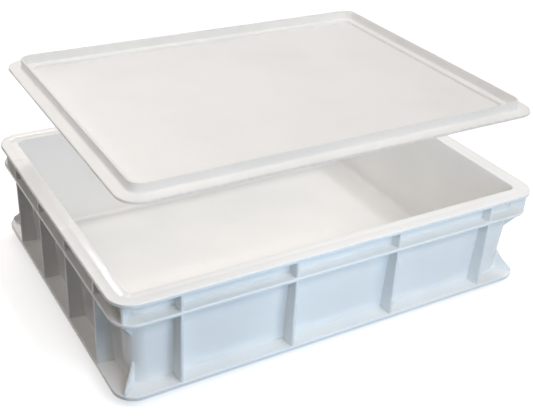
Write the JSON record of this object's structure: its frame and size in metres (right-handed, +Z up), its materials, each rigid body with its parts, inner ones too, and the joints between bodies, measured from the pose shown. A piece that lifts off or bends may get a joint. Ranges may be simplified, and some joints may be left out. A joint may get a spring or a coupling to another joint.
{
  "type": "dough proofing container",
  "caption": "Rectangular stacking dough container with ribbed outer walls, flanges at rim, shelf and foot, and a loose flat lid with a stacking ring, shown lifted off.",
  "frame": {"origin": "centre of the flat underside of the tub", "axes": "+X along the tub's long sides, +Y along its short sides, +Z up out of its opening"},
  "size_m": [0.424, 0.34, 0.165],
  "materials": {
    "tub_plastic": "satin moulded",
    "lid_plastic": "satin moulded"
  },
  "bodies": {
    "tub": {"tub": "tub_plastic"},
    "lid": {"lid": "lid_plastic"}
  },
  "joints": [
    {"name": "lid_lift", "type": "slide", "parent": "tub", "child": "lid", "axis": [0.3363, 0.5606, 0.7567], "range_m": [-0.071, 0.08]}
  ]
}
